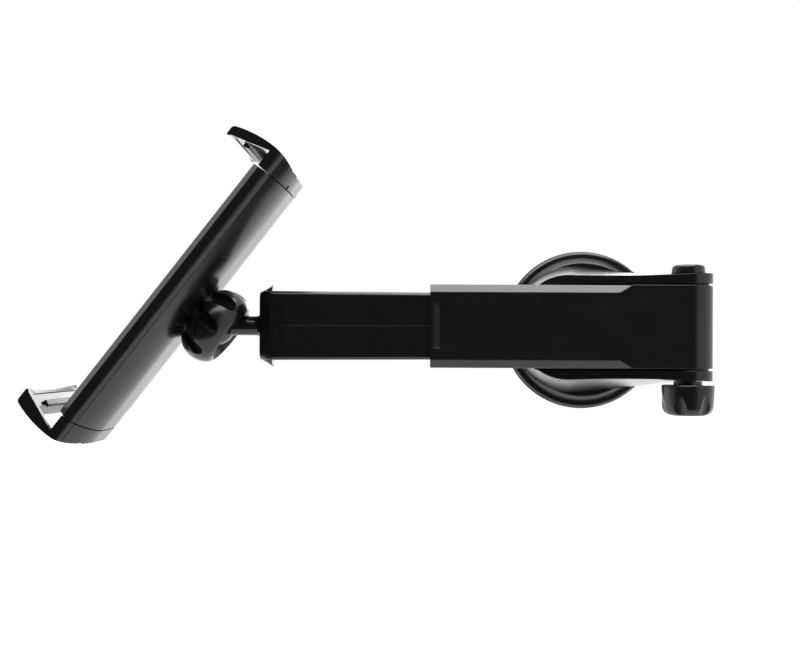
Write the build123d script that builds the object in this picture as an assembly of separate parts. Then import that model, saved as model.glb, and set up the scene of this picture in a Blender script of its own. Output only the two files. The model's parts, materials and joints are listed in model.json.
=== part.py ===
from build123d import *
import os
from math import atan2, cos, degrees, hypot, radians, sin

# Tablet holder: suction foot, folding telescopic arm, ball joint and sprung bracket.
# Millimetres. X runs along the folded arm, Y into the glass, Z up.
# The origin is the centre of the suction face, which looks along +Y.

# Clearances
slip_gap = 0.05
running_gap = 0.1
free_gap = 0.3

# Suction foot, depths are counted from the glass
cup_radius = 43.7
cup_rim = 1.2
cup_height = 3.2
cup_boss_radius = 9.0
cup_boss_height = 6.5
stem_radius = 4.0
stem_foot_radius = 6.5
stem_foot_depth = 2.4
stem_foot_height = 2.2
stem_past_pin = 5.0
ring_inset = 0.7
ring_edge = 2.7
ring_edge_round = 1.6
ring_flange = 3.3
ring_flange_slope = 0.4
ring_cone = 2.8
ring_depth = 9.5
ring_top_round = 1.0
ring_wall = 2.4
ring_hole = 14.0
base_screw_circle = 26.0
base_screw_radius = 1.5
base_screw_head_radius = 3.0
base_screw_head_height = 1.8
base_screw_length = 9.0
screw_end_room = 0.5

# Fork and pivot
pivot_x = 47.5
pivot_depth = 54.0
fork_radius = 34.9
fork_center_offset = 5.0
fork_front_radius = 24.0
fork_front_offset = 15.0
fork_left_depth = 43.5
ear_thickness = 5.4
ear_gap = 1.0
fork_back_half = 38.0
web_gap = 1.0
bolt_radius = 4.0
bolt_head_radius = 8.6
bolt_head_draft = 0.5
bolt_head_height = 4.4
bolt_head_round = 1.6
bolt_end_room = 1.0
washer_radius = 10.3

# Clamping knob
knob_radius = 13.4
knob_height = 15.7
knob_neck_radius = 7.2
knob_neck_height = 1.8
knob_taper = 0.8
knob_round = 5.0
knob_top_round = 0.8
knob_arches = 6
knob_arch_radius = 6.5
knob_arch_cut = 1.5
knob_arch_lean = 16.0
knob_bottom_wall = 2.6
insert_across_flats = 13.0
insert_height = 6.5
insert_cover = 2.0

# Lock lever
lever_pin_radius = 2.5
lever_pin_depth = 19.0
lever_hub_radius = 5.5
lever_length = 45.0
lever_thickness = 4.0
lever_half_width = 10.5
lever_tip_rise = 1.4
lever_tip_length = 9.0
lever_side_room = 0.8
lever_hub_room = 0.9
lever_fork_reach = 2.0

# Outer arm
arm_half_height = 21.0
barrel_radius = 12.3
mouth_from_pivot = 131.8
arm_chamfer = 4.0
chamfer_end_from_pivot = 37.3
chamfer_runout = 7.0
arm_wall = 2.1
bush_wall = 0.9
slide_room = 0.55
channel_corner = 2.0
channel_end_wall = 5.5
bush_length = 30.0
bush_corner = 3.0
window_half_height = 10.75
window_recess = 0.6
mouth_window_inset = 2.0
mouth_window_width = 3.0

# Inner arm
reach = 80.0
inner_taper = 1.0
inner_corner = 2.2
inner_wall = 2.2
inner_overlap = 30.4
shoe_length = 12.0
tenon_length = 10.0
arm_screw_radius = 1.4
arm_screw_head_radius = 2.9
arm_screw_head_height = 2.2
arm_screw_sink = 3.0
arm_screw_reach = 9.0
arm_screw_boss = 3.6
arm_screw_inset = 22.0
arm_screw_tail = 8.4
cap_length = 4.2
cap_bevel = 4.0
cap_corner = 6.5
plug_length = 11.0
cap_window_inset = 0.5
cap_window_width = 4.0

# Ball joint
ball_from_cap = 25.4
ball_radius = 10.0
neck_radius = 4.9
neck_fillet = 3.4
seat_thickness = 1.6
seat_half_angle = 44.0
lip_angle = 69.0
spigot_radius = 13.2
spigot_drop = 1.0
nut_radius = 20.1
nut_foot_radius = 15.2
nut_foot_drop = 9.7
nut_rim_radius = 16.4
nut_rim_height = 9.6
nut_mouth_radius = 14.9
nut_edge = 0.7
nut_flutes = 8
flute_radius = 4.2
flute_foot_depth = 2.6
flute_end_height = 6.5
pedestal_radius = 19.0
pedestal_gap = 0.4

# Tablet bracket, in its own axes: u up its length, v across, n out of its back
bracket_incline = 52.1
bracket_width = 72.0
front_from_ball = 25.3
bracket_side = 7.1
bracket_crown = 14.8
side_upright = 2.2
side_draft = 2.3
crown_flat = 40.0
crown_round = 14.0
seam_groove = 0.4
body_below_ball = 75.5
body_above_ball = 75.9
plate_thickness = 3.3
plate_round = 0.9
shell_wall = 2.4
end_wall = 3.0
socket_floor = 3.6
bracket_screw_radius = 1.4
bracket_screw_head_radius = 2.8
bracket_screw_head_height = 1.6
bracket_screw_cover = 1.4
bracket_screw_boss = 3.0
high_screw_inset = 7.0
high_screw_v = 24.6
low_screw_inset = 19.0
low_screw_v = 12.0
front_pad_length = 118.0
front_pad_width = 50.0
front_pad_thickness = 1.5
front_pad_corner = 6.0
front_pad_grooves = 6
front_pad_groove = 2.0
front_pad_groove_depth = 0.6

# Jaws
upper_jaw_length = 12.3
lower_jaw_length = 12.2
upper_jaw_gap = 0.6
hook_thickness = 4.2
hook_reach = 21.2
hook_bow = 4.3
hook_round = 2.2
jaw_back_bow = 4.1
upper_lip_reach = 9.5
lower_lip_reach = 11.9
lip_thickness = 2.6
lip_round = 0.9
lip_dip = 2.5
jaw_window_half_width = 20.5
jaw_window_edge = 0.8
tongue_half_width = 21.0
tongue_thickness = 3.6
tongue_length = 86.0
tongue_ear_length = 14.0
tongue_ear_half_width = 28.5
tongue_ear_thickness = 1.8
lower_tongue_length = 27.0
jaw_pad_half_length = 22.0
jaw_pad_width = 3.2
jaw_pad_thickness = 1.6
jaw_pad_from_lip = 1.0
jaw_pad_round = 0.7
grip_tab = 2.0
grip_tab_half_width = 17.0
grip_tab_height = 0.4
spring_v = 24.0
spring_radius = 2.0
spring_wire = 0.8
spring_post_radius = 1.4
spring_post_inset = 9.0
spring_ear_inset = 2.2

# Places worked out from the sizes
ring_radius = cup_radius - ring_inset
ring_flange_radius = ring_radius - ring_flange
ring_top_radius = ring_flange_radius - ring_cone
arm_y = -pivot_depth
arm_back_y = arm_y + barrel_radius
mouth_x = pivot_x - mouth_from_pivot
cap_x = mouth_x - reach
ball_x = cap_x - ball_from_cap - cap_length
ear_inner = arm_half_height + ear_gap
ear_outer = ear_inner + ear_thickness
bush_height = 2 * (arm_half_height - arm_wall)
bush_depth = 2 * (barrel_radius - arm_wall)
channel_height = bush_height - 2 * bush_wall
channel_depth = bush_depth - 2 * bush_wall
inner_height_at_cap = channel_height - 2 * slide_room
inner_depth = channel_depth - 2 * slide_room
front_n = -front_from_ball
floor_n = front_n + plate_thickness
seam_n = front_n + bracket_side
crown_n = front_n + bracket_crown
body_low_u = -body_below_ball
body_high_u = body_above_ball
half_width = bracket_width / 2
seam_half_width = half_width - side_draft
tongue_n = floor_n + free_gap
tongue_top_n = tongue_n + tongue_thickness
ear_top_n = tongue_n + tongue_ear_thickness
spring_n = ear_top_n + running_gap + spring_wire / 2
hook_tip_n = front_n - hook_reach
seat_outer = ball_radius + running_gap + seat_thickness
bowl_radius = seat_outer + free_gap
slope_per_mm = inner_taper / reach
inner_length = reach + inner_overlap
shoe_x = cap_x + inner_length

pivot = Pos(pivot_x, arm_y, 0)
ball = Pos(ball_x, arm_y, 0)
bracket_frame = Plane(
    origin=(ball_x, arm_y, 0),
    x_dir=(cos(radians(bracket_incline)), 0, sin(radians(bracket_incline))),
    z_dir=(sin(radians(bracket_incline)), 0, -cos(radians(bracket_incline))),
).location


# Small helpers


def block(x0, x1, y0, y1, z0, z1):
    """A box between two values on each axis."""
    size = Box(x1 - x0, y1 - y0, z1 - z0, align=(Align.MIN, Align.MIN, Align.MIN))
    return Pos(x0, y0, z0) * size


def outline(points, rounds=()):
    """A closed outline, with rounds that pair a corner's index with its radius."""
    face = make_face(Polyline(*points, close=True))
    for index, radius in rounds:
        corner = face.vertices().sort_by_distance((*points[index], 0))[0]
        face = fillet(corner, radius)
    return face


def turned_y(points, rounds=()):
    """Points are radius and depth from the glass."""
    return revolve(outline([(r, -d) for r, d in points], rounds), Axis.Y)


def turned_z(points, rounds=()):
    """Points are radius and height."""
    return revolve(Plane.XZ * outline(points, rounds), Axis.Z)


def rod_z(radius, z0, z1):
    """A round bar along Z."""
    bar = Cylinder(radius, z1 - z0, align=(Align.CENTER, Align.CENTER, Align.MIN))
    return Pos(0, 0, z0) * bar


def section_bar(face, x0, x1):
    """A section drawn across X, drawn out from x0 to x1."""
    return extrude(Plane.YZ.offset(x0) * face, x1 - x0)


def on_circle(radius, angle):
    """A point on a circle about the ball's or the seat's centre."""
    return (radius * cos(radians(angle)), radius * sin(radians(angle)))


# Suction foot


def suction_cup():
    dome_radius = cup_boss_radius + cup_height
    body = turned_y([
        (0, 0), (cup_radius, 0), (cup_radius, cup_rim), (dome_radius, cup_height),
        (cup_boss_radius, cup_boss_height), (0, cup_boss_height),
    ])
    low = stem_foot_depth - slip_gap
    top = stem_foot_depth + stem_foot_height + slip_gap
    foot = stem_foot_radius + slip_gap
    neck = stem_radius + slip_gap
    past = 2 * cup_boss_height
    pocket = turned_y([(0, low), (foot, low), (foot, top), (neck, top), (neck, past), (0, past)])
    return body - pocket


def cup_stem():
    foot_top = stem_foot_depth + stem_foot_height
    end = lever_pin_depth + stem_past_pin
    body = turned_y([
        (0, stem_foot_depth), (stem_foot_radius, stem_foot_depth), (stem_foot_radius, foot_top),
        (stem_radius, foot_top), (stem_radius, end), (0, end),
    ])
    eye = Pos(0, -lever_pin_depth, 0) * Cylinder(lever_pin_radius + running_gap / 2, 4 * stem_radius)
    return body - eye


def base_screw_places():
    """One screw above, one below and one to the right of the stem."""
    for angle in (90, 270, 0):
        yield on_circle(base_screw_circle, angle)


def pressure_ring():
    flange = cup_rim + free_gap
    shoulder = flange + ring_edge
    inside = ring_depth - ring_wall
    body = turned_y([
        (ring_radius, flange), (ring_radius, shoulder), (ring_flange_radius, shoulder + ring_flange_slope),
        (ring_top_radius, ring_depth), (ring_hole, ring_depth), (ring_hole, inside),
        (ring_top_radius - ring_wall, inside), (ring_flange_radius - ring_wall, cup_height + free_gap),
    ], rounds=[(1, ring_edge_round), (3, ring_top_round)])
    hole = Rot(90, 0, 0) * Cylinder(base_screw_radius + running_gap, 4 * ring_wall)
    for x, z in base_screw_places():
        body -= Pos(x, -ring_depth, z) * hole
    return body


def base_screws():
    head_y = -(ring_depth - ring_wall)
    head = rod_z(base_screw_head_radius, -base_screw_head_height, 0)
    screw = Rot(90, 0, 0) * (head + rod_z(base_screw_radius, 0, base_screw_length))
    return [Pos(x, head_y, z) * screw for x, z in base_screw_places()]


def fork_outline(depth, center_x, radius):
    """Round at the left, straight to the ears at the right."""
    right = pivot_x + barrel_radius
    lines = [
        ThreePointArc((center_x, radius), (center_x - radius, 0), (center_x, -radius)),
        Line((center_x, -radius), (right, -ear_outer)),
        Line((right, -ear_outer), (right, ear_outer)),
        Line((right, ear_outer), (center_x, radius)),
    ]
    return Plane.XZ.offset(depth) * make_face(lines)


def base_bracket():
    front = pivot_depth + barrel_radius
    left = -fork_center_offset - fork_radius
    wide = 2 * fork_radius
    body = loft([
        fork_outline(ring_depth, -fork_center_offset, fork_radius),
        fork_outline(front, -fork_front_offset, fork_front_radius),
    ], ruled=True)
    foot = Polyline(
        (left, -ring_depth), (left, -fork_left_depth), (fork_back_half, -ring_depth), close=True,
    )
    eye = Pos(pivot_x, arm_y) * Circle(barrel_radius)
    body &= extrude(make_hull([*foot.edges(), *eye.edges()]), wide, both=True)
    slot_back = arm_back_y + web_gap
    body -= block(-wide, 2 * wide, -2 * front, slot_back, -ear_inner, ear_inner)
    lever_room = lever_half_width + lever_side_room
    lever_floor = -(lever_pin_depth - lever_hub_radius - free_gap)
    hub_room = lever_hub_radius + lever_hub_room
    body -= block(-wide, hub_room, -front, lever_floor, -lever_room, lever_room)
    body -= Rot(90, 0, 0) * Pos(0, 0, ring_depth) * Cylinder(stem_radius + running_gap, 4 * ring_depth)
    body -= pivot * Cylinder(bolt_radius + slip_gap, 4 * ear_outer)
    depth = ring_depth - ring_wall + base_screw_length + screw_end_room
    hole = Cylinder(base_screw_radius + slip_gap, depth, align=(Align.CENTER, Align.CENTER, Align.MIN))
    for x, z in base_screw_places():
        body -= Pos(x, 0, z) * (Rot(90, 0, 0) * hole)
    return body


def pivot_bolt():
    end = knob_levels()[2] + knob_bottom_wall + bolt_end_room
    top = ear_outer + bolt_head_height
    return pivot * turned_z([
        (0, end), (bolt_radius, end), (bolt_radius, ear_outer), (bolt_head_radius, ear_outer),
        (bolt_head_radius - bolt_head_draft, top), (0, top),
    ], rounds=[(4, bolt_head_round)])


def friction_washer(z):
    thickness = ear_gap - 2 * slip_gap
    ring = Cylinder(washer_radius, thickness) - Cylinder(bolt_radius + running_gap, 2 * thickness)
    return pivot * Pos(0, 0, z) * ring


def hex_bar(across_flats, z0, z1):
    hexagon = RegularPolygon(across_flats / 2, 6, major_radius=False)
    return Pos(0, 0, z0) * extrude(hexagon, z1 - z0)


def knob_levels():
    """Heights of the neck's top, the body's top and the body's bottom."""
    neck_top = -(ear_outer + slip_gap)
    top = neck_top - knob_neck_height
    return neck_top, top, top - knob_height


def clamp_knob():
    neck_top, top, bottom = knob_levels()
    body = turned_z([
        (0, neck_top), (knob_neck_radius, neck_top), (knob_neck_radius, top), (knob_radius, top),
        (knob_radius - knob_taper, bottom), (0, bottom),
    ], rounds=[(3, knob_top_round), (4, knob_round)])
    arch = Rot(0, knob_arch_lean, 0) * Cylinder(knob_arch_radius, 2 * knob_height)
    out = knob_radius + knob_arch_radius - knob_arch_cut
    for spoke in PolarLocations(0, knob_arches):
        body -= spoke * Pos(out, 0, bottom + knob_round) * arch
    body -= rod_z(bolt_radius + running_gap, bottom + knob_bottom_wall, 0)
    insert_top = top - insert_cover
    insert_low = insert_top - insert_height
    body -= hex_bar(insert_across_flats + slip_gap, insert_low - slip_gap, insert_top + slip_gap)
    return pivot * body


def knob_insert():
    insert_top = knob_levels()[1] - insert_cover
    body = hex_bar(insert_across_flats, insert_top - insert_height, insert_top)
    return pivot * (body - rod_z(bolt_radius + running_gap, insert_top - 2 * insert_height, 0))


def lock_lever():
    depth = lever_pin_depth
    low = depth - lever_thickness
    blade = Polyline(
        (0, -low), (lever_tip_length - lever_length, -low), (-lever_length, -low - lever_tip_rise),
        (-lever_length, -depth), (lever_tip_length - lever_length, -depth), (0, -depth), close=True,
    )
    hub = Pos(0, -depth) * Circle(lever_hub_radius)
    body = extrude(make_face(blade) + hub, lever_half_width, both=True)
    cheek = stem_radius + free_gap
    reach_in = lever_hub_radius + lever_fork_reach
    body -= block(-reach_in, reach_in, -2 * depth, 0, -cheek, cheek)
    return body - Pos(0, -depth, 0) * Cylinder(lever_pin_radius + slip_gap, 4 * lever_half_width)


def lever_pin():
    return Pos(0, -lever_pin_depth, 0) * Cylinder(lever_pin_radius, 2 * lever_half_width)


# Arm


def arm_chamfers():
    """Long bevels that run out before the hinge, one for each corner of the box."""
    end = pivot_x - chamfer_end_from_pivot
    low = arm_half_height - arm_chamfer
    corner = make_face(Polyline(
        (barrel_radius - arm_chamfer, arm_half_height), (barrel_radius, arm_half_height),
        (barrel_radius, low), close=True,
    ))
    bevel = section_bar(corner, cap_x, end + chamfer_runout)
    runout = extrude(Plane.XZ * make_face(Polyline(
        (end, low), (end + chamfer_runout, arm_half_height), (end + chamfer_runout, low), close=True,
    )), 2 * barrel_radius, both=True)
    bevel -= runout
    for upside in (bevel, mirror(bevel, Plane.XY)):
        yield Pos(0, arm_y, 0) * upside
        yield Pos(0, arm_y, 0) * mirror(upside, Plane.XZ)


def outer_arm():
    body = block(mouth_x, pivot_x, arm_y - barrel_radius, arm_back_y, -arm_half_height, arm_half_height)
    body += pivot * Cylinder(barrel_radius, 2 * arm_half_height)
    for bevel in arm_chamfers():
        body -= bevel
    channel = RectangleRounded(channel_depth, channel_height, channel_corner)
    pocket = RectangleRounded(bush_depth, bush_height, bush_corner)
    body -= Pos(0, arm_y, 0) * section_bar(channel, cap_x, pivot_x - channel_end_wall)
    body -= Pos(0, arm_y, 0) * section_bar(pocket, cap_x, mouth_x + bush_length + slip_gap)
    window_x = mouth_x + mouth_window_inset
    tall = window_half_height + free_gap / 2
    deep = 2 * barrel_radius
    body -= block(window_x, window_x + mouth_window_width, arm_y - deep, arm_y + deep, -tall, tall)
    return body - pivot * Cylinder(bolt_radius + running_gap, 4 * arm_half_height)


def mouth_bush():
    slack = 2 * slip_gap
    outside = RectangleRounded(bush_depth - slack, bush_height - slack, bush_corner)
    inside = RectangleRounded(inner_depth + 2 * free_gap, inner_height_at_cap + 2 * free_gap, inner_corner)
    body = section_bar(outside - inside, mouth_x, mouth_x + bush_length)
    start = mouth_x + mouth_window_inset + free_gap / 2
    outer = barrel_radius - window_recess
    inner = (inner_depth + bush_depth) / 4
    width = mouth_window_width - free_gap
    for y0 in (inner, -outer):
        body += block(start, start + width, y0, y0 + outer - inner, -window_half_height, window_half_height)
    return Pos(0, arm_y, 0) * body


def inner_arm():
    """The whole tapered tube, before it is parted at its seam."""
    height_at_shoe = inner_height_at_cap - slope_per_mm * inner_length
    tube = loft([
        Plane.YZ.offset(cap_x) * RectangleRounded(inner_depth, inner_height_at_cap, inner_corner),
        Plane.YZ.offset(shoe_x) * RectangleRounded(inner_depth, height_at_shoe, inner_corner),
    ])
    room = inner_depth / 2 - inner_wall
    tall = height_at_shoe / 2 - inner_wall
    tube -= block(cap_x - reach, shoe_x + reach, -room, room, -tall, tall)
    start = cap_x + cap_window_inset
    window = window_half_height + free_gap / 2
    tube -= block(start, start + cap_window_width, -inner_depth, inner_depth, -window, window)
    for x in arm_screw_places():
        tube += Pos(x, 0, 0) * Cylinder(arm_screw_boss, 2 * tall + inner_wall)
        below = -inner_height_at_cap
        tube -= Pos(x, 0, 0) * rod_z(arm_screw_radius + slip_gap, below, arm_screw_reach + screw_end_room)
        tube -= Pos(x, 0, 0) * rod_z(arm_screw_head_radius + running_gap, below, arm_screw_seat(x))
    return Pos(0, arm_y, 0) * tube


def arm_screw_places():
    return cap_x + arm_screw_inset, shoe_x - tenon_length - arm_screw_tail


def arm_screw_seat(x):
    """Height of the seat for a screw head, sunk in the lower half."""
    return -(inner_height_at_cap - slope_per_mm * (x - cap_x)) / 2 + arm_screw_sink


def inner_arm_halves():
    tube = inner_arm()
    length = 2 * inner_length
    deep = 2 * inner_depth
    upper = block(cap_x - length, shoe_x + length, arm_y - deep, arm_y + deep, 0, inner_height_at_cap)
    lower = block(cap_x - length, shoe_x + length, arm_y - deep, arm_y + deep, -inner_height_at_cap, 0)
    return tube & upper, tube & lower


def arm_screws():
    for x in arm_screw_places():
        seat = arm_screw_seat(x)
        shank = rod_z(arm_screw_radius, seat, arm_screw_reach)
        head = rod_z(arm_screw_head_radius, seat - arm_screw_head_height, seat)
        yield Pos(x, arm_y, 0) * (shank + head)


def slide_shoe():
    slack = 2 * running_gap
    section = RectangleRounded(channel_depth - slack, channel_height - slack, channel_corner)
    body = section_bar(section, shoe_x, shoe_x + shoe_length)
    room = inner_depth / 2 - inner_wall - slip_gap
    tall = (inner_height_at_cap - slope_per_mm * inner_length) / 2 - inner_wall - slip_gap
    body += block(shoe_x - tenon_length, shoe_x, -room, room, -tall, tall)
    return Pos(0, arm_y, 0) * body


def ball_stud():
    face_x = cap_x - cap_length
    deep = 2 * barrel_radius
    tall = 2 * arm_half_height
    body = loft([
        Plane.YZ.offset(cap_x) * RectangleRounded(deep, tall, cap_corner),
        Plane.YZ.offset(face_x) * RectangleRounded(
            deep - 2 * cap_bevel, tall - 2 * cap_bevel, cap_corner - cap_bevel / 2),
    ])
    room = inner_depth / 2 - inner_wall - slip_gap
    plug = (inner_height_at_cap - slope_per_mm * inner_length) / 2 - inner_wall - slip_gap
    body += block(cap_x, cap_x + plug_length, -room, room, -plug, plug)
    start = cap_x + cap_window_inset + free_gap / 2
    proud = inner_depth / 2 - window_recess
    body += block(
        start, start + cap_window_width - free_gap, -proud, proud, -window_half_height, window_half_height,
    )
    fillet_start = face_x - neck_fillet
    bend = neck_fillet * (1 - cos(radians(45)))
    neck = make_face([
        Line((ball_x, 0), (ball_x, neck_radius)),
        Line((ball_x, neck_radius), (fillet_start, neck_radius)),
        ThreePointArc(
            (fillet_start, neck_radius), (face_x - bend, neck_radius + bend),
            (face_x, neck_radius + neck_fillet),
        ),
        Line((face_x, neck_radius + neck_fillet), (face_x, 0)),
        Line((face_x, 0), (ball_x, 0)),
    ])
    body += revolve(neck, Axis.X)
    return Pos(0, arm_y, 0) * (body + Pos(ball_x, 0, 0) * Sphere(ball_radius))


# Ball joint


def ball_seat():
    inner = ball_radius + running_gap
    half = 180 - seat_half_angle
    middle = 180 - seat_half_angle / 2
    cup = make_face([
        ThreePointArc((-inner, 0), on_circle(inner, middle), on_circle(inner, half)),
        Line(on_circle(inner, half), on_circle(seat_outer, half)),
        ThreePointArc(on_circle(seat_outer, half), on_circle(seat_outer, middle), (-seat_outer, 0)),
        Line((-seat_outer, 0), (-inner, 0)),
    ])
    return ball * revolve(cup, Axis.X)


def collar_levels():
    """Lip height of the collar, and the radii of its foot and its crown."""
    lip_height = (ball_radius + running_gap) * cos(radians(lip_angle))
    foot = spigot_radius - 2 * free_gap
    return lip_height, foot, foot - lip_height / 2


def ball_collar():
    inner = ball_radius + running_gap
    lip_height, foot, crown = collar_levels()
    ring = make_face([
        ThreePointArc((inner, 0), on_circle(inner, (90 - lip_angle) / 2), on_circle(inner, 90 - lip_angle)),
        Line(on_circle(inner, 90 - lip_angle), (crown, lip_height)),
        Line((crown, lip_height), (foot, 0)),
        Line((foot, 0), (inner, 0)),
    ])
    return bracket_frame * revolve(Plane.XZ * ring, Axis.Z)


def ball_nut():
    lip_height, foot, crown = collar_levels()
    bore = spigot_radius + running_gap
    lip = (ball_radius + running_gap) * sin(radians(lip_angle)) + free_gap
    top = lip_height + free_gap
    shoulder = nut_rim_height - nut_edge
    barrel = make_face([
        Line((bore, -nut_foot_drop), (nut_foot_radius, -nut_foot_drop)),
        ThreePointArc((nut_foot_radius, -nut_foot_drop), (nut_radius, 0), (nut_rim_radius, shoulder)),
        Line((nut_rim_radius, shoulder), (nut_mouth_radius, nut_rim_height)),
        Line((nut_mouth_radius, nut_rim_height), (lip, top)),
        Line((lip, top), (crown + free_gap, top)),
        Line((crown + free_gap, top), (bore, free_gap)),
        Line((bore, free_gap), (bore, -nut_foot_drop)),
    ])
    body = revolve(Plane.XZ * barrel, Axis.Z)
    low = nut_foot_radius - flute_foot_depth + flute_radius
    rise = nut_radius - nut_foot_radius + flute_foot_depth
    lean = degrees(atan2(rise, flute_end_height + nut_foot_drop))
    flute = Pos(low, 0, -nut_foot_drop) * Rot(0, lean, 0) * Cylinder(flute_radius, 4 * nut_radius)
    for spoke in PolarLocations(0, nut_flutes):
        body -= spoke * flute
    return bracket_frame * body


# Tablet bracket


def crown_face(inset=0, skirt=0):
    """Section across the crowned back; inset gives the shell's inside, a skirt runs below the seam."""
    slope_wide = seam_half_width - crown_flat / 2
    slope_tall = crown_n - seam_n
    slope = hypot(slope_wide, slope_tall)
    foot = seam_half_width - inset * slope / slope_tall
    edge = crown_flat / 2 - inset * (slope - slope_wide) / slope_tall
    level = crown_n - inset
    rounds = [(1, crown_round - inset), (2, crown_round - inset)]
    face = outline([(foot, seam_n), (edge, level), (-edge, level), (-foot, seam_n)], rounds)
    if skirt:
        face += Pos(0, seam_n - skirt / 2) * Rectangle(2 * foot, skirt)
    return face


def side_face(low_n, bottom_round=0):
    """Section across the sides: upright from a level, then drawn in to the seam."""
    turn = front_n + side_upright
    face = make_face([
        Line((-half_width, low_n), (half_width, low_n)),
        Line((half_width, low_n), (half_width, turn)),
        TangentArc((half_width, turn), (seam_half_width, seam_n), tangent=(0, 1)),
        Line((seam_half_width, seam_n), (-seam_half_width, seam_n)),
        TangentArc((-half_width, turn), (-seam_half_width, seam_n), tangent=(0, 1)),
        Line((-half_width, turn), (-half_width, low_n)),
    ])
    if bottom_round:
        face = fillet(face.vertices().group_by(Axis.Y)[0], bottom_round)
    return face


def seam_cut():
    """The shadow line along the seam, as a bar to cut away on both sides of the bracket."""
    wide = half_width + seam_groove
    side = make_face(Polyline(
        (wide, seam_n - seam_groove - side_draft), (wide, seam_n + seam_groove + side_draft),
        (seam_half_width - seam_groove, seam_n), close=True,
    ))
    bar = section_bar(side, 2 * body_low_u, 2 * body_high_u)
    return bar + mirror(bar, Plane.XZ)


def bracket_screw_places():
    high = body_high_u - high_screw_inset
    low = body_low_u + low_screw_inset
    return (high, high_screw_v), (high, -high_screw_v), (low, low_screw_v), (low, -low_screw_v)


def bracket_back():
    deep = seam_n - floor_n - slip_gap
    body = section_bar(crown_face(), body_low_u, body_high_u)
    inside = crown_face(shell_wall, deep)
    body -= section_bar(inside, body_low_u + end_wall, body_high_u - end_wall)
    slot = tongue_half_width + free_gap
    body -= block(2 * body_low_u, 2 * body_high_u, -slot, slot, front_n, tongue_top_n + free_gap)
    under = -bowl_radius - socket_floor
    body += rod_z(pedestal_radius, under, -nut_foot_drop - pedestal_gap)
    body += rod_z(spigot_radius, under, -spigot_drop)
    body -= Sphere(bowl_radius)
    post = rod_z(bracket_screw_boss, floor_n + slip_gap, crown_n)
    inner = section_bar(crown_face(shell_wall / 2, deep), body_low_u, body_high_u)
    tip = crown_n - shell_wall - bracket_screw_cover
    for u, v in bracket_screw_places():
        body += Pos(u, v, 0) * post & inner
        body -= Pos(u, v, 0) * rod_z(bracket_screw_radius + slip_gap, front_n, tip + screw_end_room)
    return bracket_frame * (body - seam_cut())


def bracket_front():
    body = section_bar(side_face(front_n, plate_round), body_low_u, body_high_u)
    room = seam_half_width - shell_wall
    body -= block(body_low_u + end_wall, body_high_u - end_wall, -room, room, floor_n, 0)
    slot = tongue_half_width + free_gap
    body -= block(2 * body_low_u, 2 * body_high_u, -slot, slot, floor_n, 0)
    seat = front_n + bracket_screw_head_height + free_gap
    for u, v in bracket_screw_places():
        body -= Pos(u, v, 0) * rod_z(bracket_screw_radius + running_gap, 2 * front_n, 0)
        body -= Pos(u, v, 0) * rod_z(bracket_screw_head_radius + running_gap, 2 * front_n, seat)
    post = rod_z(spring_post_radius, floor_n, spring_n + spring_radius)
    for v in (spring_v, -spring_v):
        body += Pos(body_low_u + spring_post_inset, v, 0) * post
    return bracket_frame * (body - seam_cut())


def bracket_screws():
    seat = front_n + bracket_screw_head_height + free_gap
    screw = rod_z(bracket_screw_radius, seat, crown_n - shell_wall - bracket_screw_cover)
    screw += rod_z(bracket_screw_head_radius, seat - bracket_screw_head_height, seat)
    return [bracket_frame * Pos(u, v, 0) * screw for u, v in bracket_screw_places()]


def front_pad():
    low = front_n - front_pad_thickness
    pad = RectangleRounded(front_pad_length, front_pad_width, front_pad_corner)
    body = Pos(0, 0, low) * extrude(pad, front_pad_thickness)
    pitch = front_pad_length / front_pad_grooves
    for spot in GridLocations(pitch, 0, front_pad_grooves, 1):
        groove = Box(front_pad_groove, 2 * front_pad_width, 2 * front_pad_groove_depth)
        body -= Pos(0, 0, low) * spot * groove
    return bracket_frame * body


def hook(end, start, lip_reach):
    """A jaw without its tongue: end block, bowed hook and lip, for a block between start and end."""
    side = 1 if end > start else -1
    tip_u = end - side * lip_reach
    widest = (end, front_n)
    back = (end - side * jaw_back_bow, crown_n)
    shoulder = (end - side * hook_bow, hook_tip_n)
    lip_low = (tip_u, hook_tip_n)
    lip_top = (tip_u, hook_tip_n + lip_thickness)
    profile = make_face([
        TangentArc(widest, back, tangent=(0, 1)),
        Polyline(
            back, (start, crown_n), (start, front_n), (end - side * hook_thickness, front_n),
            lip_top, lip_low, shoulder,
        ),
        TangentArc(widest, shoulder, tangent=(0, -1)),
    ])
    for spot, radius in ((shoulder, hook_round), (lip_low, lip_round), (lip_top, lip_round)):
        profile = fillet(profile.vertices().sort_by_distance((*spot, 0))[0], radius)
    body = extrude(Plane.XZ * profile, half_width, both=True)
    low_u, high_u = sorted((end, start))
    section = side_face(2 * hook_tip_n) + crown_face()
    body &= section_bar(section, low_u - lip_reach, high_u + lip_reach)
    dip_radius = (half_width ** 2 + lip_dip ** 2) / (2 * lip_dip)
    dip = rod_z(dip_radius, 2 * hook_tip_n, hook_tip_n + lip_thickness + lip_round)
    body -= Pos(tip_u + side * (lip_dip - dip_radius), 0, 0) * dip
    window_top = front_n - jaw_window_edge
    window_low = pad_level() + jaw_pad_width + jaw_window_edge
    wide = jaw_window_half_width
    body -= block(low_u - lip_reach, high_u + lip_reach, -wide, wide, window_low, window_top)
    return body - seam_cut()


def pad_level():
    """Level of the jaw pad's lower edge, above the lip."""
    return hook_tip_n + lip_thickness + jaw_pad_from_lip


def grip_slope(lip_reach):
    """How far the hook's inner face leans in for each millimetre towards its tip."""
    return (lip_reach - hook_thickness) / (hook_reach - lip_thickness)


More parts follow.
